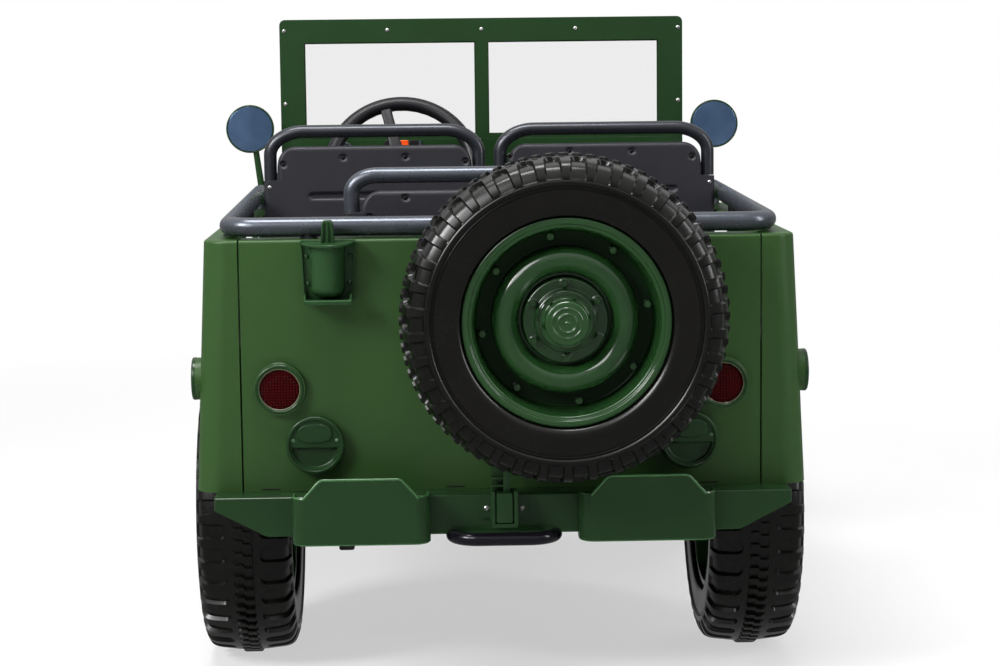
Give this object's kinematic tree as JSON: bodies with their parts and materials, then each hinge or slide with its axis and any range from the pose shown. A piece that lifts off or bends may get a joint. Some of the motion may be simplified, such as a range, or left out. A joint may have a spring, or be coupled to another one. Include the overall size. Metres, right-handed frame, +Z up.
{
  "type": "ride-on toy army four-wheel-drive car",
  "caption": "Child's battery ride-on car shaped like an open army 4x4, with flat windscreen, tube rails, rear-mounted spare wheel and steered front wheels.",
  "frame": {"origin": "on the ground under the middle of the overall box", "axes": "+X to the car's right, +Y forward, +Z up"},
  "size_m": [0.799, 1.56, 0.8419],
  "materials": {
    "green_body": "satin moulded plastic, army green",
    "green_trim": "satin moulded plastic, darker green",
    "green_rim": "gloss moulded plastic, deep green",
    "black_plastic": "fine-grained black plastic",
    "grey_plastic": "fine-grained dark grey plastic",
    "grey_tube": "grey satin powder coat on steel tube",
    "tyre": "foamed rubber, matte",
    "red_lens": "deep red clear plastic with a fine grid",
    "clear_pane": "clear plastic sheet",
    "lamp_glass": "clear lens over a bright bowl",
    "mirror_glass": "blue tinted mirror film",
    "orange_switch": "orange rocker",
    "black_steel": "black painted steel",
    "battery_case": "plain battery case"
  },
  "bodies": {
    "body": {"rear_panel": "green_body", "side_panel_left": "green_body", "side_panel_right": "green_body", "floor_pan": "black_plastic", "tail_lenses": "red_lens", "filler_caps": "green_trim", "dash_panel": "green_body", "cowl": "green_body", "windscreen_frame": "green_body", "windscreen_panes": "clear_pane", "hood": "green_body", "grille": "green_body", "headlamps": "lamp_glass", "fender_left": "green_body", "fender_right": "green_body", "front_bumper": "green_trim", "rear_bumper": "green_trim", "bumperette_left": "green_trim", "bumperette_right": "green_trim", "hitch": "green_trim", "tow_tube": "black_plastic", "tool_bracket": "green_trim", "spare_tyre": "tyre", "spare_rim": "green_rim", "spare_carrier": "black_plastic", "chassis": "black_steel", "rear_axle": "black_steel", "front_axle": "black_steel", "steering_column": "black_plastic", "battery": "battery_case", "driver_seat_frame": "grey_tube", "driver_seat_shell": "grey_plastic", "passenger_seat_frame": "grey_tube", "passenger_seat_shell": "grey_plastic", "rear_seat_frame": "grey_tube", "rear_seat_shell": "grey_plastic", "rail": "grey_tube", "mirror_left": "green_trim", "mirror_right": "green_trim", "mirror_glasses": "mirror_glass", "dash_instruments": "grey_plastic", "dash_switch": "orange_switch"},
    "knuckle_left": {"knuckle_left": "black_steel"},
    "knuckle_right": {"knuckle_right": "black_steel"},
    "tie_rod": {"tie_rod": "black_steel"},
    "steering_wheel": {"steering_wheel": "black_plastic"},
    "rear_left_wheel": {"rear_left_tyre": "tyre", "rear_left_rim": "green_rim"},
    "rear_right_wheel": {"rear_right_tyre": "tyre", "rear_right_rim": "green_rim"},
    "front_left_wheel": {"front_left_tyre": "tyre", "front_left_rim": "green_rim"},
    "front_right_wheel": {"front_right_tyre": "tyre", "front_right_rim": "green_rim"}
  },
  "joints": [
    {"name": "rear_left_spin", "type": "hinge", "parent": "body", "child": "rear_left_wheel", "pos_m": [-0.324, -0.387, 0.195], "axis": [1, 0, 0], "continuous": true},
    {"name": "rear_right_spin", "type": "hinge", "parent": "body", "child": "rear_right_wheel", "pos_m": [0.324, -0.387, 0.195], "axis": [1, 0, 0], "continuous": true},
    {"name": "front_left_spin", "type": "hinge", "parent": "knuckle_left", "child": "front_left_wheel", "pos_m": [-0.324, 0.493, 0.195], "axis": [1, 0, 0], "continuous": true},
    {"name": "front_right_spin", "type": "hinge", "parent": "knuckle_right", "child": "front_right_wheel", "pos_m": [0.324, 0.493, 0.195], "axis": [1, 0, 0], "continuous": true},
    {"name": "steer_left", "type": "hinge", "parent": "body", "child": "knuckle_left", "pos_m": [-0.236, 0.493, 0.195], "axis": [0, 0, 1], "range_deg": [-20, 20]},
    {"name": "steer_right", "type": "hinge", "parent": "body", "child": "knuckle_right", "pos_m": [0.236, 0.493, 0.195], "axis": [0, 0, 1], "range_deg": [-20, 20]},
    {"name": "tie_rod_slide", "type": "slide", "parent": "body", "child": "tie_rod", "axis": [1, 0, 0], "range_m": [-0.017, 0.017]},
    {"name": "steering_wheel_turn", "type": "hinge", "parent": "body", "child": "steering_wheel", "pos_m": [-0.125, 0.056, 0.612], "axis": [0, -0.9272, 0.3746], "range_deg": [-50.5, 50.5]}
  ],
  "couplings": [
    {"joint": "steer_right", "follows": "steer_left", "ratio": 1},
    {"joint": "tie_rod_slide", "follows": "steer_left", "m_per_rad": 0.048},
    {"joint": "steering_wheel_turn", "follows": "steer_left", "ratio": 2.5}
  ]
}
